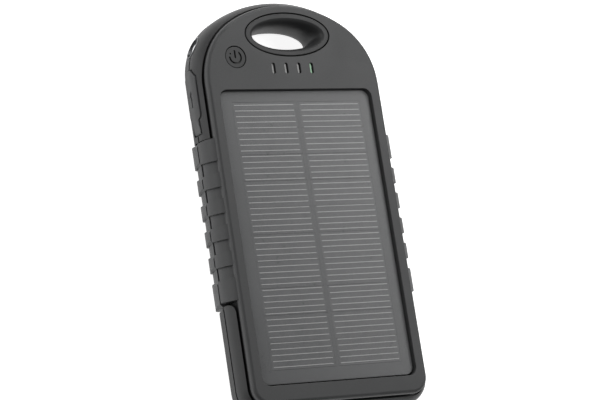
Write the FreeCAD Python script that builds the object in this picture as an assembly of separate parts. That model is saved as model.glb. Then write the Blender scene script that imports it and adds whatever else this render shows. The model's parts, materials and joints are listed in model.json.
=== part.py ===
"""Solar phone charger: a rugged power bank with a solar panel, a torch and a moulded handle opening.

Millimetres.  The charger lies on its back: +Z leaves the solar panel, +Y points to the handle and
+X is to the right when the panel faces the viewer.  The origin is the middle of the back face's box.
"""
import FreeCAD, Part
import math
import os

from FreeCAD import Vector

os.makedirs("parts", exist_ok=True)

# ---------------------------------------------------------------- driving dimensions
THICKNESS = 15.0
MID = THICKNESS / 2

COVER_HALF_WIDTH = 33.5
COVER_BOTTOM = -69.2
COVER_TOP = 68.95
TOP_RADIUS = 40.0              # the flat arc over the handle
SHOULDER_RADIUS = 25.5         # the tighter arcs beside it
PLAIN_SIDE = (SHOULDER_RADIUS, TOP_RADIUS)
TORCH_SIDE = (21.5, 44.0)      # the band's arcs are fuller round the torch, on the left
CORNER_RADIUS = 6.0            # bottom corners
FRONT_EDGE_RADIUS = 1.3
REAR_EDGE_RADIUS = 2.2
WALL = 2.5                     # side wall of the hard case, inside the cover's outline

BAND_GROW = 2.65               # the hard case's visible band stands this far outside the covers
BAND_FRONT_RADIUS = 6.3        # the front half rolls in from the seam
BAND_FRONT_HEIGHT = 6.35
BAND_REAR_RADIUS = 2.4         # the rear half is fuller
BAND_REAR_HEIGHT = 5.3
SEAM = 0.7                     # width of the sunk line where two halves meet
SEAM_DEPTH = 0.7
CHANNEL = 0.65                 # dark channel between a cover's wall and the band
CHANNEL_FLOOR = 3.1            # height of the channel's floor over the parting plane
COVER_DEPTH = 3.5              # depth of a cover's rim, from its face to its foot

LIP_DEPTH = 2.0                # below its lip the cover's rim steps in
LIP_OVERHANG = 0.5

DECK_TOP = THICKNESS - COVER_DEPTH - 0.1
DECK = 1.0                     # thickness of the hard case's front deck
FLOOR_BOTTOM = 1.9             # underside of the hard case's floor
FLOOR = 1.1

GRIP_HALF_WIDTH = 37.0
GRIP_LOW = -33.4
GRIP_REAR_LOW = -34.5          # the rear halves reach a little lower
GRIP_HIGH = 22.0
GRIP_FRONT_RADIUS = 7.0
GRIP_REAR_RADIUS = 2.5         # the rear half of the grip is squarer
GRIP_INNER = COVER_HALF_WIDTH - 0.3
GROOVE_COUNT = 5
GROOVE_PITCH = 8.97
GROOVE_HEIGHT = 4.05
GROOVE_DEPTH = 0.8
GROOVE_SLOPE = 0.25            # lean of a groove's sides over its depth
REAR_GROOVE_DEPTH = 0.6
REAR_GROOVE_SLOPE = 1.2        # the rear halves' ribs are softer
GRIP_CLEARANCE = 0.45
BAND_END_GAP = 1.0             # gap under the grip's lower hood
BAND_END_RADIUS = 2.2

WINDOW_HALF_WIDTH = 29.6
WINDOW_LOW = -63.05
WINDOW_HIGH = 38.5
WINDOW_RADIUS = 3.0
PANEL_HALF_WIDTH = 29.1
PANEL_LOW = -62.45
PANEL_HIGH = 38.35
PANEL_RADIUS = 2.7
PANEL_TOP = THICKNESS - 1.1
TAPE = 0.2
BOARD = 1.4                    # the solar panel's backing board
CELL = 0.25
FINGER = 0.06

CELL_CENTRE_X = 0.35
CELL_GAP = 2.9                 # bare strip between the two columns of cells
CELL_COLUMN = 22.7
FINGER_COUNT = 46
FINGER_LOW = -56.8
FINGER_HIGH = 33.5
FINGER_WIDTH = 0.26

HANDLE_Y = 58.15
THROAT_X = 12.3
THROAT_Y = 4.1
THROAT_DROP = 0.2              # the throat's centre lies this far below the ring's
RING_X = 16.2
RING_Y = 7.6
RING_GAP = 0.42
LIP_SHARE = 0.62               # share of the ring's width taken by its rolled lip
LIP_HEIGHT = 6.4

BUTTON_X = -21.35
BUTTON_Y = 50.1
BUTTON_RADIUS = 3.85
BUTTON_GAP = 0.18
BUTTON_SUNK = 0.25
BUTTON_TRAVEL = 0.5
SIGN_RADIUS = 2.15
SIGN_LINE = 0.6
SIGN_DEPTH = 0.7

SLIT_COUNT = 4
SLIT_PITCH = 4.95
SLIT_X = 0.05                  # middle of the row of indicators
SLIT_Y = 46.05
SLIT_LENGTH = 3.95
SLIT_WIDTH = 1.4
PIPE_SUNK = 0.6                # the light pipes end this far below the face
PIPE_WIDTH = 0.85
PIPE_SHIFT = -0.22             # each pipe lies at the left of its slit

PORT_Y = 38.0
PORT_Z = MID
PORT_MOUTH_X = 33.2            # where both sockets' metal shells begin
FLAP_TAIL_Y = 24.75
FLAP_NECK_Y = 30.6
FLAP_HIGH = 44.6
FLAP_TIP = 47.4
FLAP_HALF_HEIGHT = 3.0
FLAP_TAIL_HALF_HEIGHT = 2.2
FLAP_INNER_GROW = 1.2
FLAP_GAP = 0.3
FLAP_PROUD = 0.35              # the flaps stand this far out of the band
HINGE_X = 35.3
HINGE_Y = 25.5
HINGE_RADIUS = 0.7

TORCH_ANGLE = 30.5             # above the side, on the left shoulder
TORCH_MOUTH = 4.05
TORCH_DEPTH = 4.6
LEAD_STRAIGHT = 1.8            # run of the torch's wires before their first bend
TORCH_Z = 6.5
TORCH_FLATTEN = 0.62           # the torch is an oval, lower than it is long

CIRCUIT_TOP = 4.6
CIRCUIT = 1.0
BATTERY_HALF_WIDTH = 26.0
BATTERY_LOW = -61.5
BATTERY_HIGH = 18.5
BATTERY_THICKNESS = 5.8

SWITCH_HALF = 3.0
SWITCH_HEIGHT = 3.5
PLUNGER_RADIUS = 1.75
STEM_RADIUS = 1.8              # stem of the button, through the seal and the deck
STEM_BORE = 2.6

GASKET_INSET = 1.5             # from the covers' outline in to the middle of the gasket
GASKET_WIDTH = 0.8
GASKET_HEIGHT = 0.8

USB_A_HALF_WIDTH = 6.55
USB_A_HALF_HEIGHT = 2.8
USB_A_DEPTH = 13.0
USB_A_TONGUE_HALF = 5.55
USB_A_PITCH = 2.2
MICRO_HALF_WIDTH = 3.75
MICRO_HALF_HEIGHT = 1.28
MICRO_DEPTH = 5.6
MICRO_Z = CIRCUIT_TOP + 1.3
SHELL_SHEET = 0.3

REAR_PAD_HALF_WIDTH = 24.0     # shallow plain recess on the back
REAR_PAD_LOW = -50.0
REAR_PAD_HIGH = 14.0
REAR_PAD_DEPTH = 0.3

SCREW_PLACES = [(21.8, 58.8), (28.6, -13.0), (28.0, -63.4)]
SCREW_HEAD_RADIUS = 1.75
SCREW_RADIUS = 0.8
BOSS_RADIUS = 2.2

CORNER_X = COVER_HALF_WIDTH - CORNER_RADIUS
CORNER_Y = CORNER_RADIUS + COVER_BOTTOM
CASE_SIDE = COVER_HALF_WIDTH - 0.5
CAVITY_LOW = FLOOR_BOTTOM + FLOOR
CAVITY_HIGH = DECK_TOP - DECK
SIDES = (-1, 1)


# ---------------------------------------------------------------- small helpers
def arc(cx, cy, radius, start, end, z):
    """Circular arc in a horizontal plane, angles in degrees."""
    def at(angle):
        turn = math.radians(angle)
        return Vector(cx + radius * math.cos(turn), cy + radius * math.sin(turn), z)
    return Part.Arc(at(start), at((start + end) / 2), at(end)).toShape()


def line(start, end):
    return Part.makeLine(Vector(*start), Vector(*end))


def shoulder_centre(radius, top_radius):
    """Centre of a shoulder arc that runs smoothly into the side and the top arc, and its end angle."""
    x = COVER_HALF_WIDTH - radius
    rise_y = math.sqrt((top_radius - radius) ** 2 - x ** 2)
    return x, COVER_TOP - top_radius + rise_y, math.degrees(math.atan2(rise_y, x))


def outline(grow, z, left=PLAIN_SIDE):
    """The covers' outline, grown outwards by `grow`: arch on top, straight sides, round corners."""
    half = COVER_HALF_WIDTH + grow
    low = COVER_BOTTOM - grow
    corner = CORNER_RADIUS + grow
    right_x, right_y, right_angle = shoulder_centre(*PLAIN_SIDE)
    left_x, left_y, left_angle = shoulder_centre(*left)
    left_radius, left_top = left
    return Part.Wire([
        line((-CORNER_X, low, z), (CORNER_X, low, z)),
        arc(CORNER_X, CORNER_Y, corner, 270, 360, z),
        line((half, CORNER_Y, z), (half, right_y, z)),
        arc(right_x, right_y, SHOULDER_RADIUS + grow, 0, right_angle, z),
        arc(0, COVER_TOP - TOP_RADIUS, TOP_RADIUS + grow, right_angle, 90, z),
        arc(0, COVER_TOP - left_top, left_top + grow, 90, 180 - left_angle, z),
        arc(-left_x, left_y, left_radius + grow, 180 - left_angle, 180, z),
        line((-half, left_y, z), (-half, CORNER_Y, z)),
        arc(-CORNER_X, CORNER_Y, corner, 180, 270, z),
    ])


def rise(wire, height):
    """Upright solid over a flat closed wire."""
    return Part.Face(wire).extrude(Vector(0, 0, height))


def slab(grow, low, high, left=PLAIN_SIDE):
    return rise(outline(grow, low, left), high - low)


def block(x0, x1, y0, y1, z0, z1):
    return Part.makeBox(x1 - x0, y1 - y0, z1 - z0, Vector(x0, y0, z0))


def round_block(x0, x1, y0, y1, z0, z1, radius):
    """Box with rounded upright edges."""
    wire = Part.Wire([
        line((x0 + radius, y0, z0), (x1 - radius, y0, z0)),
        arc(x1 - radius, y0 + radius, radius, 270, 360, z0),
        line((x1, y0 + radius, z0), (x1, y1 - radius, z0)),
        arc(x1 - radius, y1 - radius, radius, 0, 90, z0),
        line((x1 - radius, y1, z0), (x0 + radius, y1, z0)),
        arc(x0 + radius, y1 - radius, radius, 90, 180, z0),
        line((x0, y1 - radius, z0), (x0, y0 + radius, z0)),
        arc(x0 + radius, y0 + radius, radius, 180, 270, z0),
    ])
    return rise(wire, z1 - z0)


def slot_block(cx, cy, length, width, z0, z1):
    """Upright solid of a slot shape that runs along Y and has round ends."""
    half = (length - width) / 2
    radius = width / 2
    wire = Part.Wire([
        line((cx + radius, cy - half, z0), (cx + radius, cy + half, z0)),
        arc(cx, cy + half, radius, 0, 180, z0),
        line((cx - radius, cy + half, z0), (cx - radius, cy - half, z0)),
        arc(cx, cy - half, radius, 180, 360, z0),
    ])
    return rise(wire, z1 - z0)


def cylinder(x, y, radius, z0, z1):
    return Part.makeCylinder(radius, z1 - z0, Vector(x, y, z0))


def oval(share, z, extra=0):
    """Oval round the handle opening: share 0 is its throat and share 1 the ring's edge."""
    half_x = THROAT_X + share * (RING_X - THROAT_X) + extra
    half_y = THROAT_Y + share * (RING_Y - THROAT_Y) + extra
    ellipse = Part.Ellipse(Vector(0, HANDLE_Y - (1 - share) * THROAT_DROP, z), half_x, half_y)
    return Part.Wire([ellipse.toShape()])


def mirror_z(shape):
    """The same shape turned over about the case's middle plane."""
    return shape.mirror(Vector(0, 0, MID), Vector(0, 0, 1))


def mirror_x(shape):
    return shape.mirror(Vector(0, 0, 0), Vector(1, 0, 0))


def both_sides(shape):
    return shape.fuse(mirror_x(shape))


def edges_at(shape, z, keep=lambda edge: True):
    """Edges that lie wholly in the horizontal plane at z."""
    found = []
    for edge in shape.Edges:
        box = edge.BoundBox
        if abs(box.ZMin - z) < 1e-4 and abs(box.ZMax - z) < 1e-4 and keep(edge):
            found.append(edge)
    return found


def lead(points, radius, bend):
    """Insulated wire along straight runs joined by tangent arcs."""
    path = []
    start = Vector(*points[0])
    for before, corner, after in zip(points, points[1:], points[2:]):
        corner = Vector(*corner)
        arrive = (corner - Vector(*before)).normalize()
        leave = (Vector(*after) - corner).normalize()
        turn = arrive.getAngle(leave)
        setback = bend * math.tan(turn / 2)
        first = corner - arrive * setback
        last = corner + leave * setback
        inward = (leave - arrive).normalize()
        middle = corner + inward * (bend / math.cos(turn / 2) - bend)
        path.append(Part.makeLine(start, first))
        path.append(Part.Arc(first, middle, last).toShape())
        start = last
    path.append(Part.makeLine(start, Vector(*points[-1])))
    spine = Part.Wire(path)
    direction = Vector(*points[1]) - Vector(*points[0])
    ring = Part.Wire([Part.Circle(Vector(*points[0]), direction, radius).toShape()])
    return spine.makePipeShell([ring], True, True)


# ---------------------------------------------------------------- shared shapes
def band_half(radius, height, extra=0):
    """Front half of the hard case's outer form; its rim is rounded by `radius`."""
    top = MID + height
    form = slab(BAND_GROW + extra, MID, top, TORCH_SIDE)
    return form.makeFillet(radius, edges_at(form, top))


def band_whole(extra):
    """Both halves of the hard case's outer form, grown outwards by `extra`."""
    front = band_half(BAND_FRONT_RADIUS, BAND_FRONT_HEIGHT, extra)
    return front.fuse(mirror_z(band_half(BAND_REAR_RADIUS, BAND_REAR_HEIGHT, extra)))


def grip_section(half_width, curl, depth):
    """Solid along Y whose section is a quarter ellipse: `curl` wide and `depth` high."""
    cx = half_width - curl
    steps = [math.radians(a) for a in (0, 22.5, 45, 67.5, 90)]
    points = [Vector(cx + curl * math.cos(a), -90, MID + depth * math.sin(a)) for a in steps]
    curve = Part.BSplineCurve()
    curve.interpolate(points)
    edge = curve.toShape()
    base = Vector(0, -90, MID)
    top = Vector(0, -90, MID + depth)
    wire = Part.Wire([edge, Part.makeLine(points[-1], top), Part.makeLine(top, base),
                      Part.makeLine(base, points[0])])
    return Part.Face(wire).extrude(Vector(0, 180, 0))


def grip_plan(low, high, slope):
    """Plan of a grip block, whose ends lean in by `slope` over its outermost millimetre."""
    outer = GRIP_HALF_WIDTH + 0.01
    shoulder = GRIP_HALF_WIDTH - GROOVE_DEPTH - 0.2
    points = [(GRIP_INNER, low), (shoulder, low), (outer, low + slope), (outer, high - slope),
              (shoulder, high), (GRIP_INNER, high), (GRIP_INNER, low)]
    wire = Part.makePolygon([Vector(x, y, MID) for x, y in points])
    return rise(wire, MID)


def groove_cutter(centre, slope, depth):
    """Space above one groove's floor, open towards the outside."""
    low = centre - GROOVE_HEIGHT / 2
    high = centre + GROOVE_HEIGHT / 2
    floor = GRIP_HALF_WIDTH - depth
    outer = GRIP_HALF_WIDTH + 1
    spread = slope * (outer - floor) / depth
    inner = GRIP_INNER + 0.15
    points = [(inner, low), (floor, low), (outer, low - spread), (outer, high + spread),
              (floor, high), (inner, high), (inner, low)]
    wire = Part.makePolygon([Vector(x, y, MID - 1) for x, y in points])
    return rise(wire, MID + 1)


def grip_half(curl, slope, depth, low):
    """One grip block on the right-hand side, from the parting plane up, with its grooves cut."""
    body = grip_section(GRIP_HALF_WIDTH, curl, MID - 0.02).common(grip_plan(low, GRIP_HIGH, slope))
    floor = grip_section(GRIP_HALF_WIDTH - depth, curl, MID - 0.02 - depth)
    middle = (GRIP_LOW + GRIP_HIGH) / 2
    for i in range(GROOVE_COUNT):
        centre = middle + (i - (GROOVE_COUNT - 1) / 2) * GROOVE_PITCH
        body = body.cut(groove_cutter(centre, slope, depth).cut(floor))
    return body.cut(block(0, GRIP_HALF_WIDTH + 1, low - 1, GRIP_HIGH + 1, 0, MID + SEAM / 2))


def ring_body():
    """Front half of the handle ring before its bore is cut."""
    top = THICKNESS - 0.05
    ring = rise(oval(1, MID), top - MID)
    return ring.makeFillet(0.25, edges_at(ring, top))


def ring_bore(steps, lip_share, lip_height):
    """Space inside the front half of the handle ring: a straight throat that rolls out into a lip."""
    start = THICKNESS - 0.05 - lip_height
    levels = [(MID - 0.01, 0.0), (start, 0.0)]
    for i in range(1, steps + 1):
        turn = math.radians(84 * i / steps)
        levels.append((start + lip_height * math.sin(turn), lip_share * (1 - math.cos(turn))))
    levels.append((THICKNESS + 0.4, levels[-1][1] + 0.12))
    return Part.makeLoft([oval(share, z) for z, share in levels], True, False)


def flap_prism(side, extra):
    """Port cover's outline in the side view, run in from the side; `extra` grows it all round."""
    tall = FLAP_HALF_HEIGHT + extra
    slim = FLAP_TAIL_HALF_HEIGHT + extra
    tail = FLAP_TAIL_Y - extra
    half = [(tail, slim - 0.6), (tail + 0.6, slim), (FLAP_NECK_Y - 0.9, slim - 0.25),
            (FLAP_NECK_Y, tall - 0.2), (FLAP_NECK_Y + 0.9, tall), (FLAP_HIGH + extra, tall),
            (FLAP_TIP + extra, tall - 1.9)]
    loop = half + [(y, -z) for y, z in reversed(half)] + [half[0]]
    wire = Part.makePolygon([Vector(side * 30, y, MID + z) for y, z in loop])
    return Part.Face(wire).extrude(Vector(side * 10, 0, 0))


def flap_space(side):
    """Recess in the case for a port cover: floor behind it, and room for the tail to turn."""
    prism = flap_prism(side, FLAP_GAP)
    recess = prism.cut(slab(FLAP_INNER_GROW - 0.1, 0, THICKNESS))
    turn = cylinder(side * HINGE_X, HINGE_Y, HINGE_RADIUS + 0.25, MID - FLAP_TAIL_HALF_HEIGHT - FLAP_GAP,
                    MID + FLAP_TAIL_HALF_HEIGHT + FLAP_GAP)
    return recess.fuse(turn)


def side_box(side, x_in, x_out, half_y, half_z, radius, z=PORT_Z):
    """Rounded tunnel through the side wall at the port."""
    wire = Part.Wire([
        line((0, half_y - radius, half_z), (0, radius - half_y, half_z)),
        Part.Arc(Vector(0, radius - half_y, half_z),
                 Vector(0, radius - half_y - radius * math.sin(math.pi / 4),
                        half_z - radius + radius * math.cos(math.pi / 4)),
                 Vector(0, -half_y, half_z - radius)).toShape(),
        line((0, -half_y, half_z - radius), (0, -half_y, radius - half_z)),
        Part.Arc(Vector(0, -half_y, radius - half_z),
                 Vector(0, radius - half_y - radius * math.sin(math.pi / 4),
                        radius - half_z - radius * math.cos(math.pi / 4)),
                 Vector(0, radius - half_y, -half_z)).toShape(),
        line((0, radius - half_y, -half_z), (0, half_y - radius, -half_z)),
        Part.Arc(Vector(0, half_y - radius, -half_z),
                 Vector(0, half_y - radius + radius * math.sin(math.pi / 4),
                        radius - half_z - radius * math.cos(math.pi / 4)),
                 Vector(0, half_y, radius - half_z)).toShape(),
        line((0, half_y, radius - half_z), (0, half_y, half_z - radius)),
        Part.Arc(Vector(0, half_y, half_z - radius),
                 Vector(0, half_y - radius + radius * math.sin(math.pi / 4),
                        half_z - radius + radius * math.cos(math.pi / 4)),
                 Vector(0, half_y - radius, half_z)).toShape(),
    ])
    wire.translate(Vector(side * x_in, PORT_Y, z))
    return Part.Face(wire).extrude(Vector(side * (x_out - x_in), 0, 0))


TORCH_TURN = math.radians(180 - TORCH_ANGLE)
TORCH_AXIS = Vector(math.cos(TORCH_TURN), math.sin(TORCH_TURN), 0)
TORCH_PIVOT_X, TORCH_PIVOT_Y, _ = shoulder_centre(*TORCH_SIDE)
TORCH_FACE = Vector(-TORCH_PIVOT_X, TORCH_PIVOT_Y, TORCH_Z) + TORCH_AXIS * (TORCH_SIDE[0] + BAND_GROW)


def torch_turned(profile):
    """Oval solid about the torch's axis from (height, radius) pairs; heights run outwards."""
    points = [Vector(0, 0, profile[0][0])]
    points += [Vector(radius, 0, height) for height, radius in profile]
    points += [Vector(0, 0, profile[-1][0]), Vector(0, 0, profile[0][0])]
    wire = Part.makePolygon(points)
    solid = Part.Face(wire).revolve(Vector(0, 0, 0), Vector(0, 0, 1), 360)
    squeeze = FreeCAD.Matrix()
    squeeze.scale(TORCH_FLATTEN, 1, 1)
    solid = solid.transformGeometry(squeeze)
    turn = FreeCAD.Rotation(Vector(0, 0, 1), TORCH_AXIS.cross(Vector(0, 0, 1)), TORCH_AXIS, "ZXY")
    solid.Placement = FreeCAD.Placement(TORCH_FACE, turn)
    return solid


def torch_body(extra):
    """Outer form of the torch's cup, grown all round by `extra`."""
    return torch_turned([(-TORCH_DEPTH - extra, 2.1 + extra), (-3.4, 3.0 + extra), (-2.2, 3.6 + extra),
                         (-0.6, TORCH_MOUTH + 0.4 + extra), (2.0, TORCH_MOUTH + 0.4 + extra)])


def torch_space():
    """Room in the case for the torch's cup, the board behind it and the way in for its wires."""
    board_room = torch_turned([(-TORCH_DEPTH - 1.2, 3.5), (-TORCH_DEPTH, 3.5)])
    wire_way = torch_turned([(-TORCH_DEPTH - 3.4, 2.4), (-TORCH_DEPTH, 2.4)])
    return torch_body(0.1).fuse(board_room).fuse(wire_way)


# ---------------------------------------------------------------- covers
def screw_spots():
    return [(side * x, y) for x, y in SCREW_PLACES for side in SIDES]


def front_cover():
    """Rubberised front shell: face, rim and the front halves of both grips."""
    foot = THICKNESS - COVER_DEPTH
    plate = slab(0, THICKNESS - LIP_DEPTH, THICKNESS)
    plate = plate.makeFillet(FRONT_EDGE_RADIUS, edges_at(plate, THICKNESS))
    plate = plate.fuse(slab(-LIP_OVERHANG, foot, THICKNESS - LIP_DEPTH))
    grip = grip_half(GRIP_FRONT_RADIUS, GROOVE_SLOPE, GROOVE_DEPTH, GRIP_LOW)
    grip = grip.cut(slab(-LIP_OVERHANG, 0, foot))
    shell = plate.fuse(both_sides(grip))
    window = round_block(-WINDOW_HALF_WIDTH, WINDOW_HALF_WIDTH, WINDOW_LOW, WINDOW_HIGH,
                         0, THICKNESS + 1, WINDOW_RADIUS)
    shell = shell.cut(window)
    shell = shell.cut(rise(oval(1, 0, RING_GAP), THICKNESS + 1))
    shell = shell.cut(cylinder(BUTTON_X, BUTTON_Y, BUTTON_RADIUS + BUTTON_GAP, 0, THICKNESS + 1))
    for x in slit_places():
        shell = shell.cut(slot_block(x, SLIT_Y, SLIT_LENGTH, SLIT_WIDTH, 0, THICKNESS + 1))

    def softened(edge):
        box = edge.BoundBox
        inside_window = box.YMax < WINDOW_HIGH + 0.1 and max(-box.XMin, box.XMax) < WINDOW_HALF_WIDTH + 0.1
        return inside_window and box.YMin > WINDOW_LOW - 0.1
    return shell.makeFillet(0.2, edges_at(shell, THICKNESS, softened))


def rear_cover():
    """Rubberised rear shell: back, rim, rear halves of the grips and the screw recesses."""
    plate = slab(0, THICKNESS - COVER_DEPTH, THICKNESS)
    plate = plate.makeFillet(REAR_EDGE_RADIUS, edges_at(plate, THICKNESS))
    plate = plate.cut(slab(-WALL + 0.1, 0, THICKNESS - FLOOR_BOTTOM + 0.1))
    grip = grip_half(GRIP_REAR_RADIUS, REAR_GROOVE_SLOPE, REAR_GROOVE_DEPTH, GRIP_REAR_LOW)
    grip = grip.cut(slab(-LIP_OVERHANG, 0, THICKNESS - COVER_DEPTH))
    shell = mirror_z(plate.fuse(both_sides(grip)))
    shell = shell.cut(rise(oval(1, -1, RING_GAP), THICKNESS))
    for x, y in screw_spots():
        shell = shell.cut(cylinder(x, y, SCREW_HEAD_RADIUS + 0.25, -1, 1.0))
        shell = shell.cut(cylinder(x, y, SCREW_RADIUS + 0.2, -1, 5))
    pad = round_block(-REAR_PAD_HALF_WIDTH, REAR_PAD_HALF_WIDTH, REAR_PAD_LOW, REAR_PAD_HIGH,
                      -1, REAR_PAD_DEPTH, 4.0)
    return shell.cut(pad)


# ---------------------------------------------------------------- hard case
def port_spaces():
    """Recesses and tunnels for both sockets and their covers."""
    spaces = [flap_space(side) for side in SIDES]
    spaces.append(side_box(-1, COVER_HALF_WIDTH - WALL - 2, COVER_HALF_WIDTH + 3, 6.75, 3.0, 0.6))
    spaces.append(side_box(1, COVER_HALF_WIDTH - WALL - 2, COVER_HALF_WIDTH + 3, 5.5, 3.0, 0.8))
    spaces += [cover_foot(side, 0.05) for side in SIDES]
    return spaces


def band_end(side, end):
    """Space above the rounded end of the band below a grip."""
    low, high = sorted((side * CASE_SIDE, side * 45))
    top = MID + BAND_FRONT_HEIGHT
    shoulder = DECK_TOP + 0.6
    corner = block(low, high, end - BAND_END_RADIUS, end, shoulder - BAND_END_RADIUS, top)
    pivot = Vector(low, end - BAND_END_RADIUS, shoulder - BAND_END_RADIUS)
    return corner.cut(Part.makeCylinder(BAND_END_RADIUS, high - low, pivot, Vector(1, 0, 0)))


def case_form(radius, height, grip_low):
    """Outer form of one case half above the parting plane, with the grips' notches and the deck."""
    form = band_half(radius, height)
    form = form.cut(slab(CHANNEL, DECK_TOP, THICKNESS))
    form = form.cut(slab(CHANNEL, MID + CHANNEL_FLOOR, THICKNESS).cut(slab(-LIP_OVERHANG, 0, THICKNESS)))
    for side in SIDES:
        low, high = sorted((side * CASE_SIDE, side * 45))
        end = grip_low - BAND_END_GAP
        form = form.cut(block(low, high, end, GRIP_HIGH + GRIP_CLEARANCE, 0, THICKNESS))
        form = form.cut(band_end(side, end))
    core = slab(BAND_GROW - SEAM_DEPTH, 0, THICKNESS, TORCH_SIDE)
    return form.cut(slab(BAND_GROW + 3, MID, MID + SEAM / 2).cut(core))


def bosses(low, high):
    posts = [cylinder(x, y, BOSS_RADIUS, low, high) for x, y in screw_spots()]
    return posts[0].fuse(posts[1:])


def inner_case_front():
    """Front half of the hard case: deck, side wall, band, handle ring and screw bosses."""
    half = case_form(BAND_FRONT_RADIUS, BAND_FRONT_HEIGHT, GRIP_LOW)
    ring = ring_body()
    cavity = slab(-WALL, MID, CAVITY_HIGH).cut(ring).cut(bosses(MID, CAVITY_HIGH))
    half = half.cut(cavity).fuse(ring)
    half = half.cut(ring_bore(6, LIP_SHARE, LIP_HEIGHT))
    half = half.cut(gasket_loop(0).cut(ring))
    half = half.cut(cylinder(BUTTON_X, BUTTON_Y, STEM_BORE, MID, THICKNESS))
    for x in slit_places():
        half = half.cut(slot_block(x, SLIT_Y, SLIT_LENGTH + 0.1, SLIT_WIDTH + 0.1, MID, THICKNESS))
    half = half.cut(block(-2.5, 2.5, 25.0, 27.5, MID, THICKNESS))
    for x, y in screw_spots():
        half = half.cut(cylinder(x, y, SCREW_RADIUS, MID - 1, CAVITY_HIGH - 0.2))
    for space in port_spaces():
        half = half.cut(space)
    return half.cut(torch_space())


def inner_case_rear():
    """Rear half of the hard case: floor, side wall, band and the rear of the handle ring."""
    half = mirror_z(case_form(BAND_REAR_RADIUS, BAND_REAR_HEIGHT, GRIP_REAR_LOW))
    half = half.cut(slab(CHANNEL, 0, FLOOR_BOTTOM))
    deep = slab(-WALL, FLOOR_BOTTOM, THICKNESS - DECK_TOP)
    half = half.fuse(deep)
    ring = mirror_z(ring_body())
    cavity = slab(-WALL, CAVITY_LOW, MID).cut(ring).cut(bosses(CAVITY_LOW, MID))
    half = half.cut(cavity).fuse(ring)
    half = half.cut(mirror_z(ring_bore(6, LIP_SHARE, LIP_HEIGHT)))
    half = half.cut(gasket_loop(0).cut(ring))
    for x, y in screw_spots():
        half = half.cut(cylinder(x, y, SCREW_RADIUS + 0.2, 0, MID + 1))
    for space in port_spaces():
        half = half.cut(space)
    return half.cut(torch_space())


def gasket_loop(spare):
    """Loop along the joint of the case halves, smaller all round by `spare`."""
    middle = -GASKET_INSET
    reach = GASKET_WIDTH / 2 - spare
    low = MID - GASKET_HEIGHT / 2 + spare
    high = MID + GASKET_HEIGHT / 2 - spare
    return slab(middle + reach, low, high).cut(slab(middle - reach, low, high))


def case_gasket():
    """Silicone cord in the joint between the case halves."""
    loop = gasket_loop(0.03).cut(rise(oval(1, 0, 0.1), THICKNESS))
    for space in port_spaces():
        loop = loop.cut(space)
    return loop.cut(torch_body(0.3)).cut(torch_space())


def case_screws():
    """Small countersunk screws that draw the rear cover and the case halves together."""
    screws = []
    for x, y in screw_spots():
        head = cylinder(x, y, SCREW_HEAD_RADIUS, 0.35, 1.0)
        shank = cylinder(x, y, SCREW_RADIUS, 1.0, CAVITY_HIGH - 1.0)
        cross = block(x - 0.9, x + 0.9, y - 0.18, y + 0.18, 0.3, 0.75)
        cross = cross.fuse(block(x - 0.18, x + 0.18, y - 0.9, y + 0.9, 0.3, 0.75))
        screws.append(head.fuse(shank).cut(cross))
    return Part.makeCompound(screws)


# ---------------------------------------------------------------- solar panel
def panel_slab(z0, z1):
    return round_block(-PANEL_HALF_WIDTH, PANEL_HALF_WIDTH, PANEL_LOW, PANEL_HIGH, z0, z1, PANEL_RADIUS)


PANEL_BOTTOM = DECK_TOP + TAPE
BOARD_TOP = PANEL_BOTTOM + BOARD


def panel_tape():
    """Foam tape frame that bonds the panel to the deck."""
    outer = round_block(-28.6, 28.6, PANEL_LOW + 0.5, PANEL_HIGH - 0.5, DECK_TOP, PANEL_BOTTOM, 3.0)
    inner = round_block(-24.6, 24.6, PANEL_LOW + 4.5, PANEL_HIGH - 4.5, DECK_TOP, PANEL_BOTTOM, 2.0)
    return outer.cut(inner)


def column_edges():
    """Left and right edge of each column of cells."""
    inner = CELL_GAP / 2
    return [(CELL_CENTRE_X - inner - CELL_COLUMN, CELL_CENTRE_X - inner),
            (CELL_CENTRE_X + inner, CELL_CENTRE_X + inner + CELL_COLUMN)]


def cell_strips():
    """Silicon strips: each column is cut into ten strips wired in series."""
    strips = []
    count = 10
    low = FINGER_LOW - 1.0
    pitch = (FINGER_HIGH + 1.0 - low) / count
    for x0, x1 in column_edges():
        for i in range(count):
            y0 = low + i * pitch + 0.08
            strips.append(block(x0 - 0.7, x1 + 0.7, y0, y0 + pitch - 0.16, BOARD_TOP, BOARD_TOP + CELL))
    return Part.makeCompound(strips)


def finger_lines():
    """Silver collector lines printed across every column."""
    lines = []
    z0 = BOARD_TOP + CELL
    step = (FINGER_HIGH - FINGER_LOW) / (FINGER_COUNT - 1)
    for x0, x1 in column_edges():
        for i in range(FINGER_COUNT):
            y = FINGER_LOW + i * step
            lines.append(block(x0, x1, y - FINGER_WIDTH / 2, y + FINGER_WIDTH / 2, z0, z0 + FINGER))
    return Part.makeCompound(lines)


def cell_bed():
    """Filler sheet that surrounds the cells, flush with their tops."""
    sheet = panel_slab(BOARD_TOP, BOARD_TOP + CELL)
    for x0, x1 in column_edges():
        sheet = sheet.cut(block(x0 - 0.75, x1 + 0.75, FINGER_LOW - 1.05, FINGER_HIGH + 1.05, 0, THICKNESS))
    return sheet


def panel_resin():
    """Clear resin laid over the cells, with a softened rim."""
    sheet = panel_slab(BOARD_TOP + CELL + FINGER + 0.01, PANEL_TOP)
    return sheet.makeFillet(0.2, edges_at(sheet, PANEL_TOP))


# ---------------------------------------------------------------- controls and indicators
def slit_places():
    first = SLIT_X - SLIT_PITCH * (SLIT_COUNT - 1) / 2
    return [first + i * SLIT_PITCH for i in range(SLIT_COUNT)]


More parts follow.
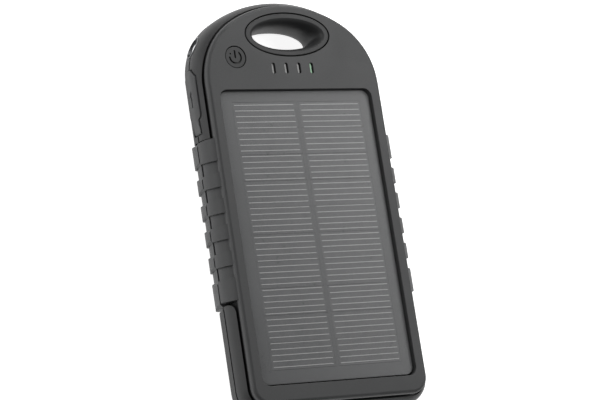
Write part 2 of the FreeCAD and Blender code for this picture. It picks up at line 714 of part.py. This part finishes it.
def power_button():
    """Round push button with its sunk power sign, and a stem."""
    top = THICKNESS - BUTTON_SUNK
    cap = cylinder(BUTTON_X, BUTTON_Y, BUTTON_RADIUS, DECK_TOP + BUTTON_TRAVEL + 0.2, top)
    cap = cap.makeFillet(0.3, edges_at(cap, top))
    stem = cylinder(BUTTON_X, BUTTON_Y, STEM_RADIUS, DECK_TOP + 0.02, DECK_TOP + BUTTON_TRAVEL + 0.2)
    return cap.fuse(stem).cut(power_sign(top - SIGN_DEPTH, top + 1))


def power_sign(low, high):
    """Broken ring with a stroke and a small indicator hole."""
    ring = cylinder(BUTTON_X, BUTTON_Y, SIGN_RADIUS + SIGN_LINE / 2, low, high)
    ring = ring.cut(cylinder(BUTTON_X, BUTTON_Y, SIGN_RADIUS - SIGN_LINE / 2, low - 1, high + 1))
    ring = ring.cut(block(BUTTON_X - 3, BUTTON_X + 1.35, BUTTON_Y + 0.2, BUTTON_Y + 3, low, high))
    stroke = slot_block(BUTTON_X - 0.05, BUTTON_Y + 1.05, 2.9, SIGN_LINE, low, high)
    hole = cylinder(BUTTON_X - 1.8, BUTTON_Y + 1.2, 0.3, low, high)
    return ring.fuse(stroke).fuse(hole)


def button_seal():
    """Silicone ring under the button's cap."""
    ring = cylinder(BUTTON_X, BUTTON_Y, STEM_BORE + 0.8, DECK_TOP, DECK_TOP + 0.15)
    return ring.cut(cylinder(BUTTON_X, BUTTON_Y, STEM_BORE + 0.1, DECK_TOP, DECK_TOP + 0.15))


def switch_body():
    """Tact switch soldered under the button."""
    body = block(BUTTON_X - SWITCH_HALF, BUTTON_X + SWITCH_HALF, BUTTON_Y - SWITCH_HALF,
                 BUTTON_Y + SWITCH_HALF, CIRCUIT_TOP, CIRCUIT_TOP + SWITCH_HEIGHT)
    well = cylinder(BUTTON_X, BUTTON_Y, PLUNGER_RADIUS + 0.15, CIRCUIT_TOP + 2.4, THICKNESS)
    return body.cut(well)


def switch_plunger():
    """Plunger of the switch, which the button's stem pushes."""
    return cylinder(BUTTON_X, BUTTON_Y, PLUNGER_RADIUS, CIRCUIT_TOP + 3.0, DECK_TOP + 0.02)


def light_pipes():
    """Four clear bars on a common bridge, which carry the indicators' light to the face."""
    bridge = block(slit_places()[0] - 1.5, slit_places()[-1] + 1.5, SLIT_Y - 2.2, SLIT_Y + 2.2,
                   CAVITY_HIGH - 1.2, CAVITY_HIGH - 0.05)
    for x in slit_places():
        bar = slot_block(x + PIPE_SHIFT, SLIT_Y, SLIT_LENGTH - 0.1, PIPE_WIDTH, CIRCUIT_TOP + 1.0,
                         THICKNESS - PIPE_SUNK)
        clear_slit = slot_block(x, SLIT_Y, SLIT_LENGTH - 0.1, SLIT_WIDTH - 0.1, MID, THICKNESS)
        bridge = bridge.fuse(bar.common(clear_slit))
    return bridge


def indicator_leds():
    """One small emitter under each light pipe."""
    top = CIRCUIT_TOP + 0.8
    return Part.makeCompound([block(x - 0.8, x + 0.8, SLIT_Y - 0.5, SLIT_Y + 0.5, CIRCUIT_TOP, top)
                              for x in slit_places()])


# ---------------------------------------------------------------- torch
def torch_reflector():
    """Metallised oval cup let into the left shoulder; its rim stands just proud of the band."""
    outer = torch_body(0).common(band_whole(0.15))
    bowl = [(-TORCH_DEPTH - 1, 1.1), (-4.2, 1.1), (-3.3, 2.3), (-2.2, 3.1), (-1.0, 3.75), (0.0, TORCH_MOUTH),
            (2.0, TORCH_MOUTH)]
    return outer.cut(torch_turned(bowl))


def torch_lens():
    """Clear domed lens in the middle of the cup."""
    dome = [(-TORCH_DEPTH + 0.3, 1.0), (-3.1, 1.0), (-3.1, 2.1), (-2.0, 2.8), (-1.4, 2.7), (-0.9, 2.2),
            (-0.55, 1.3), (-0.45, 0.1)]
    return torch_turned(dome)


def torch_board():
    """Small board behind the cup with its emitter."""
    disc = torch_turned([(-TORCH_DEPTH - 1.0, 3.3), (-TORCH_DEPTH - 0.1, 3.3)])
    return disc.fuse(torch_turned([(-TORCH_DEPTH - 0.1, 0.9), (-TORCH_DEPTH + 0.25, 0.9)]))


# ---------------------------------------------------------------- sockets and their covers
def usb_a_shell():
    """Pressed steel shell of the full-size socket; its mouth faces the left side."""
    rear = PORT_MOUTH_X - USB_A_DEPTH
    outer = side_box(-1, rear, PORT_MOUTH_X, USB_A_HALF_WIDTH, USB_A_HALF_HEIGHT, 0.5)
    return outer.cut(side_box(-1, rear + 0.4, PORT_MOUTH_X + 1, USB_A_HALF_WIDTH - SHELL_SHEET,
                              USB_A_HALF_HEIGHT - SHELL_SHEET, 0.3))


def usb_a_tongue():
    """Plastic tongue of the full-size socket and the block that carries it."""
    half = USB_A_TONGUE_HALF
    tongue = block(-PORT_MOUTH_X + 0.6, -PORT_MOUTH_X + 10.5, PORT_Y - half, PORT_Y + half,
                   PORT_Z + 0.3, PORT_Z + 2.1)
    root = block(-PORT_MOUTH_X + 10.0, -PORT_MOUTH_X + 12.5, PORT_Y - 6.1, PORT_Y + 6.1,
                 PORT_Z - 2.4, PORT_Z + 2.4)
    return tongue.fuse(root)


def usb_a_contacts():
    """Four contact strips on the underside of the tongue."""
    strips = []
    for i in range(4):
        y = PORT_Y + (i - 1.5) * USB_A_PITCH
        strips.append(block(-PORT_MOUTH_X + 1.3, -PORT_MOUTH_X + 9.9, y - 0.5, y + 0.5,
                            PORT_Z + 0.15, PORT_Z + 0.3))
    return Part.makeCompound(strips)


def micro_usb_shell():
    """Small charging socket; its mouth faces the right side."""
    rear = PORT_MOUTH_X - MICRO_DEPTH
    outer = side_box(1, rear, PORT_MOUTH_X, MICRO_HALF_WIDTH, MICRO_HALF_HEIGHT, 0.7, MICRO_Z)
    return outer.cut(side_box(1, rear + 0.4, PORT_MOUTH_X + 1, MICRO_HALF_WIDTH - 0.25,
                              MICRO_HALF_HEIGHT - 0.25, 0.5, MICRO_Z))


def micro_usb_tongue():
    """Tongue of the charging socket and the block that carries it."""
    rear = PORT_MOUTH_X - MICRO_DEPTH + 0.5
    tongue = block(rear, PORT_MOUTH_X - 0.7, PORT_Y - 1.9, PORT_Y + 1.9, MICRO_Z - 0.1, MICRO_Z + 0.45)
    root = block(rear, rear + 1.1, PORT_Y - 3.2, PORT_Y + 3.2, MICRO_Z - 0.75, MICRO_Z + 0.75)
    return tongue.fuse(root)


def port_cover(side, half_y, half_z):
    """Rubber flap that closes a socket: flush skin, sealing block, pull ridge and a round hinge end."""
    skin = band_whole(FLAP_PROUD).common(flap_prism(side, 0))
    skin = skin.cut(slab(FLAP_INNER_GROW, 0, THICKNESS))
    skin = skin.cut(block(side * HINGE_X - 3, side * HINGE_X + 3, 20, HINGE_Y, 0, THICKNESS))
    skin = skin.cut(tail_relief(side))
    knuckle = cylinder(side * HINGE_X, HINGE_Y, HINGE_RADIUS, MID - FLAP_TAIL_HALF_HEIGHT + 0.2,
                       MID + FLAP_TAIL_HALF_HEIGHT - 0.2)
    skin = skin.fuse(knuckle)
    plug = side_box(side, PORT_MOUTH_X + 0.15, COVER_HALF_WIDTH + FLAP_INNER_GROW + 0.4, half_y, half_z, 0.5)
    hollow = side_box(side, PORT_MOUTH_X, PORT_MOUTH_X + 1.0, half_y - 0.9, half_z - 0.9, 0.3)
    flap = skin.fuse(plug.cut(hollow))
    return flap.cut(cover_mark(side))


def tail_relief(side):
    """Wedge taken off the outside of a port cover's tail, so that the tail can turn."""
    flush = COVER_HALF_WIDTH + BAND_GROW - 0.1
    points = [(flush, 20), (flush, HINGE_Y + 0.3), (flush + 0.5, FLAP_NECK_Y), (40, FLAP_NECK_Y),
              (40, 20), (flush, 20)]
    wire = Part.makePolygon([Vector(side * x, y, 0) for x, y in points])
    return rise(wire, THICKNESS)


def cover_mark(side):
    """Plain sunk arrow that points to the end a fingernail lifts."""
    depth = 0.25
    surface = COVER_HALF_WIDTH + BAND_GROW + FLAP_PROUD
    points = [(34.5, -0.35), (38.2, -0.35), (38.2, -1.1), (40.4, 0.0), (38.2, 1.1), (38.2, 0.35),
              (34.5, 0.35), (34.5, -0.35)]
    wire = Part.makePolygon([Vector(side * (surface - depth), y, MID + z) for y, z in points])
    return Part.Face(wire).extrude(Vector(side * 3, 0, 0))


def cover_foot(side, extra):
    """Foot of a port cover's strap, trapped between the case halves; `extra` grows it all round."""
    x0, x1 = sorted((side * (33.4 - extra), side * (34.4 + extra)))
    return block(x0, x1, 23.6 - extra, 27.6 + extra, MID - 1.3 - extra, MID + 1.3 + extra)


# ---------------------------------------------------------------- inside
def main_board():
    """Circuit board across the head of the case, with an ear under the button."""
    z0 = CIRCUIT_TOP - CIRCUIT
    board = round_block(-30.2, 30.2, 24.0, 49.3, z0, CIRCUIT_TOP, 1.0)
    ear = round_block(-26.2, -15.5, 44.0, 54.0, z0, CIRCUIT_TOP, 1.0)
    board = board.fuse(ear).removeSplitter().common(slab(-WALL - 0.4, 0, THICKNESS))
    return board.cut(rise(oval(1, 0, 0.6), THICKNESS))


def board_components():
    """Regulator coil, controllers and capacitors on the circuit board."""
    z = CIRCUIT_TOP
    coil = cylinder(4.0, 36.5, 3.2, z, z + 2.9)
    pieces = [coil, block(11, 16, 33, 38, z, z + 0.9), block(-13, -7, 34, 38, z, z + 1.2),
              block(19, 22.2, 41, 43.5, z, z + 1.4)]
    for i in range(5):
        x = -10 + i * 4.6
        pieces.append(block(x, x + 1.6, 28.5, 29.3, z, z + 0.8))
    return Part.makeCompound(pieces)


def battery_cell():
    """Flat lithium-polymer pouch."""
    low = CAVITY_LOW + 0.25
    high = low + BATTERY_THICKNESS
    pouch = round_block(-BATTERY_HALF_WIDTH, BATTERY_HALF_WIDTH, BATTERY_LOW, BATTERY_HIGH, low, high, 2.5)
    return pouch.makeFillet(1.2, edges_at(pouch, low) + edges_at(pouch, high))


def battery_pads():
    """Thin adhesive pads under the pouch."""
    low = CAVITY_LOW
    return Part.makeCompound([block(-20, 20, y, y + 12, low, low + 0.25) for y in (-54, -28, -2)])


def protection_board():
    """Battery protection strip at the pouch's top end."""
    strip = block(-16, 16, BATTERY_HIGH + 0.3, BATTERY_HIGH + 3.8, 5.2, 6.0)
    return strip.fuse(block(-6, -2, BATTERY_HIGH + 1.0, BATTERY_HIGH + 3.2, 6.0, 6.9))


def battery_leads():
    """Red and black wires from the protection strip to the circuit board."""
    wires = []
    for x in (5.0, 7.5):
        route = [(x, 20.6, 6.0), (x, 20.6, 7.6), (x, 26.2, 7.6), (x, 26.2, CIRCUIT_TOP)]
        wires.append(lead(route, 0.55, 0.9))
    return Part.makeCompound(wires)


def panel_leads():
    """Pair of wires from the panel, through the deck, to the circuit board."""
    wires = []
    for x in (-1.2, 1.2):
        wires.append(lead([(x, 26.2, PANEL_BOTTOM), (x, 26.2, 8.2), (x, 31.0, 8.2), (x, 31.0, CIRCUIT_TOP)],
                          0.45, 0.8))
    return Part.makeCompound(wires)


def torch_leads():
    """Pair of wires from the torch board to the circuit board."""
    wires = []
    back = TORCH_FACE - TORCH_AXIS * (TORCH_DEPTH + 1.0)
    clear = back - TORCH_AXIS * LEAD_STRAIGHT
    for dz in (-0.7, 0.7):
        z = TORCH_Z + dz
        wires.append(lead([(back.x, back.y, z), (clear.x, clear.y, z),
                           (-25.7, 46.6 + dz, z), (-25.7, 46.6 + dz, CIRCUIT_TOP)], 0.4, 0.7))
    return Part.makeCompound(wires)


# ---------------------------------------------------------------- export
NODES = {
    "front_cover": front_cover,
    "rear_cover": rear_cover,
    "inner_case_front": inner_case_front,
    "inner_case_rear": inner_case_rear,
    "case_gasket": case_gasket,
    "case_screws": case_screws,
    "panel_tape": panel_tape,
    "panel_board": lambda: panel_slab(PANEL_BOTTOM, BOARD_TOP),
    "solar_cells": cell_strips,
    "cell_fingers": finger_lines,
    "cell_bed": cell_bed,
    "panel_resin": panel_resin,
    "power_button": power_button,
    "button_seal": button_seal,
    "switch_body": switch_body,
    "switch_plunger": switch_plunger,
    "light_pipes": light_pipes,
    "indicator_leds": indicator_leds,
    "torch_reflector": torch_reflector,
    "torch_lens": torch_lens,
    "torch_board": torch_board,
    "torch_leads": torch_leads,
    "usb_a_shell": usb_a_shell,
    "usb_a_tongue": usb_a_tongue,
    "usb_a_contacts": usb_a_contacts,
    "micro_usb_shell": micro_usb_shell,
    "micro_usb_tongue": micro_usb_tongue,
    "left_port_cover": lambda: port_cover(-1, 6.5, 2.7),
    "right_port_cover": lambda: port_cover(1, 5.2, 2.7),
    "left_cover_foot": lambda: cover_foot(-1, 0),
    "right_cover_foot": lambda: cover_foot(1, 0),
    "main_board": main_board,
    "board_components": board_components,
    "battery_cell": battery_cell,
    "battery_pads": battery_pads,
    "protection_board": protection_board,
    "battery_leads": battery_leads,
    "panel_leads": panel_leads,
}

for name, make in NODES.items():
    shape = make()
    solids = shape.Solids
    print(f"{name:20s} solids {len(solids):3d} volume {shape.Volume:9.1f} valid {shape.isValid()}")
    shape.exportStep(f"parts/{name}.step")
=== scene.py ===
"""Looks of the solar phone charger: rubber shells, hard case, solar panel, torch and sockets.

Everything is in metres, in the row frame: +Z leaves the solar panel, +Y points to the handle.
"""
import json

import bpy
from mathutils import Matrix, Vector

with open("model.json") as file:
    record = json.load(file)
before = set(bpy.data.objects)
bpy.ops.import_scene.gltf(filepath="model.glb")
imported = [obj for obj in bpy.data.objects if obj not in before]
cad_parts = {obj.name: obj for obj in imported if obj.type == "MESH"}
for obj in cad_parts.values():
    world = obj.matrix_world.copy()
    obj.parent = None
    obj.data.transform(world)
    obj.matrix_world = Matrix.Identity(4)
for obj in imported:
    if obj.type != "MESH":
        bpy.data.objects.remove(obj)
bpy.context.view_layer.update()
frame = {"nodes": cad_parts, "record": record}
nodes = frame["nodes"]

COOL = -0.02                   # tint of the blacks and greys, a little to the blue
NOISE_LOW, NOISE_HIGH = 0.3, 0.7   # where nearly all of a noise's values lie


# ---------------------------------------------------------------- node helpers
class Graph:
    """Short way to write a material's nodes."""

    def __init__(self, name):
        self.material = bpy.data.materials.new(name)
        self.material.use_nodes = True
        self.tree = self.material.node_tree
        self.shader = self.tree.nodes["Principled BSDF"]

    def add(self, kind, links=None, **settings):
        node = self.tree.nodes.new(kind)
        for key, value in settings.items():
            setattr(node, key, value)
        for socket, value in (links or {}).items():
            self.put(node, socket, value)
        return node

    def put(self, node, socket, value):
        if isinstance(value, bpy.types.NodeSocket):
            self.tree.links.new(value, node.inputs[socket])
        else:
            node.inputs[socket].default_value = value

    def set(self, **values):
        for key, value in values.items():
            self.put(self.shader, key.replace("_", " "), value)

    def coords(self):
        return self.add("ShaderNodeTexCoord").outputs["Object"]

    def noise(self, scale, detail=2.0, rough=0.5, vector=None):
        return self.add("ShaderNodeTexNoise", {
            "Vector": vector or self.coords(), "Scale": scale, "Detail": detail, "Roughness": rough,
        }).outputs["Fac"]

    def spread(self, value, low, high):
        """The range of a noise spread over low..high."""
        return self.add("ShaderNodeMapRange", {
            "Value": value, "From Min": NOISE_LOW, "From Max": NOISE_HIGH, "To Min": low, "To Max": high,
        }).outputs["Result"]

    def ramp(self, value, *stops):
        node = self.add("ShaderNodeValToRGB", {"Fac": value})
        points = node.color_ramp.elements
        while len(points) < len(stops):
            points.new(0.5)
        for point, (place, colour) in zip(points, stops):
            point.position = place
            point.color = (*colour, 1.0)
        return node.outputs["Color"]

    def bump(self, height, distance, strength=1.0, normal=None):
        links = {"Height": height, "Distance": distance, "Strength": strength}
        if normal:
            links["Normal"] = normal
        return self.add("ShaderNodeBump", links).outputs["Normal"]


def grey(value, warm=0.0):
    """Linear grey from an sRGB level of 0 to 255, a little warm or cool."""
    level = value / 255
    linear = ((level + 0.055) / 1.055) ** 2.4 if level > 0.04 else level / 12.92
    return (linear * (1 + warm), linear, linear * (1 - warm))


def moulded(name, level, rough, grain, swing=0.12, depth=0.000025):
    """Moulded rubber or plastic: spark-eroded grain, faint flow marks and handling wear."""
    g = Graph(name)
    where = g.coords()
    flow = g.noise(55, 3.0, 0.6, where)
    base = grey(level, COOL)
    dark = tuple(c * (1 - swing) for c in base)
    light = tuple(c * (1 + swing) for c in base)
    speck = g.noise(grain * 0.7, 2.0, 0.6, where)
    blend = g.add("ShaderNodeMath", {0: flow, 1: speck}, operation="ADD").outputs[0]
    half = g.add("ShaderNodeMath", {0: blend, 1: 0.5}, operation="MULTIPLY").outputs[0]
    colour = g.ramp(half, (0.36, dark), (0.64, light))
    fine = g.noise(grain, 3.0, 0.62, where)
    broad = g.noise(140, 2.0, 0.5, where)
    normal = g.bump(fine, depth, 0.75)
    normal = g.bump(broad, 0.00006, 0.25, normal)
    g.set(Base_Color=colour, Roughness=g.spread(flow, rough - 0.05, rough + 0.06), Normal=normal)
    g.set(Specular_IOR_Level=0.42)
    return g.material


def metal(name, colour, rough, streak=(900, 900, 60), depth=0.000006):
    """Metal with fine drawn or plated marks."""
    g = Graph(name)
    where = g.add("ShaderNodeMapping", {"Vector": g.coords(), "Scale": streak}).outputs["Vector"]
    marks = g.noise(1.0, 4.0, 0.65, where)
    cloud = g.noise(300, 2.0)
    tint = g.ramp(cloud, (0.35, tuple(c * 0.9 for c in colour)), (0.65, colour))
    g.set(Base_Color=tint, Metallic=1.0, Roughness=g.spread(marks, rough * 0.8, rough * 1.3),
          Normal=g.bump(marks, depth, 0.5))
    return g.material


def clear(name, colour, rough, alpha):
    """Clear plastic shown as a thin film with its own gloss."""
    g = Graph(name)
    haze = g.noise(220, 2.0)
    tint = g.ramp(haze, (0.3, tuple(c * 0.94 for c in colour)), (0.7, colour))
    g.set(Base_Color=tint, Roughness=g.spread(haze, rough * 0.8, rough * 1.25), Alpha=alpha)
    g.set(Normal=g.bump(g.noise(90, 1.0), 0.00003, 0.15))
    return g.material


# ---------------------------------------------------------------- materials
cover_rubber = moulded("cover_rubber", 63, 0.5, 5200)
case_plastic = moulded("case_plastic", 48, 0.5, 6400)
flap_rubber = moulded("flap_rubber", 62, 0.52, 4800)
button_rubber = moulded("button_rubber", 50, 0.5, 5200)
seal_silicone = moulded("seal_silicone", 34, 0.6, 3000)
socket_plastic = moulded("socket_plastic", 30, 0.45, 5000)
component_black = moulded("component_black", 45, 0.5, 7000)
switch_plastic = moulded("switch_plastic", 40, 0.4, 6000)
plunger_plastic = moulded("plunger_plastic", 190, 0.4, 6000, swing=0.05)
foam_tape = moulded("foam_tape", 60, 0.85, 1500, depth=0.00008)
wire_jacket = moulded("wire_jacket", 110, 0.4, 5000)
cell_filler = moulded("cell_filler", 112, 0.32, 3000, swing=0.04, depth=0.000006)
socket_steel = metal("socket_steel", (0.62, 0.62, 0.61), 0.28)
screw_steel = metal("screw_steel", (0.2, 0.2, 0.21), 0.35, (1500, 1500, 300))
contact_gold = metal("contact_gold", (0.83, 0.6, 0.25), 0.22)
pouch_foil = metal("pouch_foil", (0.7, 0.71, 0.72), 0.4, (200, 200, 200), 0.0001)
reflector_chrome = metal("reflector_chrome", (0.12, 0.122, 0.125), 0.32, (500, 500, 500), 0.000004)
torch_clear = clear("torch_clear", (0.86, 0.87, 0.89), 0.12, 0.8)


def printed_silver():
    """Fired silver paste: pale, matt and a little uneven."""
    g = Graph("silver_ink")
    cloud = g.noise(1800, 3.0)
    g.set(Base_Color=g.ramp(cloud, (0.3, grey(206)), (0.7, grey(222))), Metallic=0.25,
          Roughness=g.spread(cloud, 0.4, 0.55), Normal=g.bump(cloud, 0.00001, 0.5))
    return g.material


def frosted_pipes():
    """Frosted bars; the last one on the right carries a green tint."""
    g = Graph("light_pipe_clear")
    where = g.coords()
    haze = g.noise(900, 2.0, 0.5, where)
    plain = g.ramp(haze, (0.3, grey(140, 0.01)), (0.7, grey(152, 0.01)))
    tinted = g.ramp(haze, (0.3, (0.26, 0.5, 0.3)), (0.7, (0.33, 0.58, 0.37)))
    x = g.add("ShaderNodeSeparateXYZ", {"Vector": where}).outputs["X"]
    last = g.add("ShaderNodeMath", {0: x, 1: 0.0055}, operation="GREATER_THAN").outputs[0]
    colour = g.add("ShaderNodeMix", {0: last, 6: plain, 7: tinted}, data_type="RGBA").outputs[2]
    g.set(Base_Color=colour, Roughness=g.spread(haze, 0.3, 0.4), Normal=g.bump(haze, 0.00002, 0.4))
    return g.material


def silicon_cells():
    """Dark silicon with slight crystal mottling."""
    g = Graph("silicon")
    where = g.coords()
    mottling = g.noise(260, 4.0, 0.6, where)
    sparkle = g.noise(2600, 2.0, 0.5, where)
    both = g.add("ShaderNodeMath", {0: mottling, 1: sparkle}, operation="ADD").outputs[0]
    half = g.add("ShaderNodeMath", {0: both, 1: 0.5}, operation="MULTIPLY").outputs[0]
    colour = g.ramp(half, (0.38, grey(109, COOL)), (0.62, grey(121, COOL)))
    g.set(Base_Color=colour, Roughness=g.spread(mottling, 0.27, 0.35),
          Normal=g.bump(sparkle, 0.00001, 0.4))
    return g.material


def laminate():
    """Backing board: dark woven laminate."""
    g = Graph("panel_board")
    where = g.coords()
    weave = g.add("ShaderNodeTexWave", {"Vector": where, "Scale": 900, "Distortion": 1.5, "Detail": 2.0})
    cloud = g.noise(160, 3.0, 0.6, where)
    colour = g.ramp(cloud, (0.35, grey(102, COOL)), (0.65, grey(112, COOL)))
    g.set(Base_Color=colour, Roughness=g.spread(cloud, 0.5, 0.6),
          Normal=g.bump(weave.outputs["Fac"], 0.00001, 0.5))
    return g.material


def resin():
    """Clear resin over the cells: a glossy film with a slow ripple."""
    g = Graph("clear_resin")
    where = g.coords()
    ripple = g.noise(45, 2.0, 0.5, where)
    smear = g.noise(16, 3.0, 0.6, where)
    colour = g.ramp(smear, (0.35, grey(98, COOL)), (0.65, grey(105, COOL)))
    g.set(Base_Color=colour, Roughness=g.spread(smear, 0.27, 0.34), Alpha=0.2,
          Normal=g.bump(ripple, 0.00008, 0.18))
    return g.material


def circuit():
    """Green solder mask with faint tracks."""
    g = Graph("circuit_green")
    where = g.coords()
    tracks = g.add("ShaderNodeTexBrick", {
        "Vector": where, "Scale": 120.0, "Color1": (0.012, 0.1, 0.035, 1), "Color2": (0.014, 0.12, 0.04, 1),
        "Mortar": (0.03, 0.2, 0.08, 1), "Mortar Size": 0.012,
    })
    fine = g.noise(2500, 2.0, 0.5, where)
    g.set(Base_Color=tracks.outputs["Color"], Roughness=g.spread(fine, 0.3, 0.4),
          Normal=g.bump(tracks.outputs["Fac"], 0.00003, 0.5))
    return g.material


def led_body():
    g = Graph("led_package")
    cloud = g.noise(900, 2.0)
    g.set(Base_Color=g.ramp(cloud, (0.35, (0.75, 0.74, 0.6)), (0.65, (0.85, 0.84, 0.7))),
          Roughness=g.spread(cloud, 0.3, 0.45))
    return g.material


made = {
    "cover_rubber": cover_rubber, "case_plastic": case_plastic, "flap_rubber": flap_rubber,
    "button_rubber": button_rubber, "seal_silicone": seal_silicone, "socket_plastic": socket_plastic,
    "component_black": component_black, "switch_plastic": switch_plastic, "plunger_plastic": plunger_plastic,
    "foam_tape": foam_tape, "wire_jacket": wire_jacket, "socket_steel": socket_steel,
    "screw_steel": screw_steel, "contact_gold": contact_gold, "pouch_foil": pouch_foil,
    "reflector_chrome": reflector_chrome, "silver_ink": printed_silver(), "torch_clear": torch_clear,
    "light_pipe_clear": frosted_pipes(), "silicon": silicon_cells(), "panel_board": laminate(),
    "clear_resin": resin(), "cell_filler": cell_filler, "circuit_green": circuit(), "led_package": led_body(),
}
for part in frame["record"]["subparts"]:
    thing = nodes[part["node"]]
    thing.data.materials.clear()
    thing.data.materials.append(made[part["material_slot"]])

# ---------------------------------------------------------------- camera
CAMERA_PLACE = (-0.3985, -0.1706, 0.7031)
CAMERA_LENS = 144.0            # mm, on a 36 mm sensor
RIGHT = Vector((0.8738, -0.1508, 0.4622))
UP = Vector((0.0311, 0.9661, 0.2564))
BACK = Vector((-0.4852, -0.2097, 0.8489))
camera_data = bpy.data.cameras.new("camera")
camera_data.lens = CAMERA_LENS
camera_data.sensor_width = 36.0
camera_data.clip_start = 0.05
camera_data.clip_end = 20.0
camera = bpy.data.objects.new("camera", camera_data)
bpy.context.scene.collection.objects.link(camera)
turn = Matrix((RIGHT, UP, BACK)).transposed().to_4x4()
turn.translation = Vector(CAMERA_PLACE)
camera.matrix_world = turn
bpy.context.scene.camera = camera


# ---------------------------------------------------------------- floor and light
FLOOR_HALF = 6.0
FLOOR_TOP = -0.0002            # just clear of the rear cover
FLOOR_GLOW = 0.95              # the floor is a light table
WORLD_LIGHT = 0.23


def floor():
    signs = ((-1, -1), (1, -1), (1, 1), (-1, 1))
    corners = [(x * FLOOR_HALF, y * FLOOR_HALF, FLOOR_TOP) for x, y in signs]
    mesh = bpy.data.meshes.new("floor")
    mesh.from_pydata(corners, [], [(0, 1, 2, 3)])
    plane = bpy.data.objects.new("floor", mesh)
    bpy.context.scene.collection.objects.link(plane)
    g = Graph("pale_floor")
    cloud = g.noise(4.0, 2.0)
    tint = g.ramp(cloud, (0.3, (0.9, 0.9, 0.9)), (0.7, (0.93, 0.93, 0.93)))
    g.set(Base_Color=tint, Roughness=0.9, Emission_Color=tint, Emission_Strength=FLOOR_GLOW)
    mesh.materials.append(g.material)


def area(name, place, aim, size, power):
    data = bpy.data.lights.new(name, "AREA")
    data.shape = "RECTANGLE"
    data.size, data.size_y = size
    data.energy = power
    lamp = bpy.data.objects.new(name, data)
    bpy.context.scene.collection.objects.link(lamp)
    lamp.location = place
    lamp.rotation_mode = "QUATERNION"
    lamp.rotation_quaternion = (Vector(aim) - Vector(place)).to_track_quat("-Z", "Y")


floor()
area("key", (0.34, 0.15, 0.42), (0, 0, 0), (0.45, 0.2), 1.3)
area("head", (0.1, 0.36, 0.25), (0, 0.05, 0), (0.3, 0.15), 0.6)
area("left", (-0.55, 0.2, 0.26), (0, 0.02, 0), (0.5, 0.3), 1.2)
world = bpy.data.worlds.new("studio")
bpy.context.scene.world = world
world.use_nodes = True
world.node_tree.nodes["Background"].inputs["Color"].default_value = (1, 1, 1, 1)
world.node_tree.nodes["Background"].inputs["Strength"].default_value = WORLD_LIGHT
bpy.context.scene.view_settings.view_transform = "Standard"
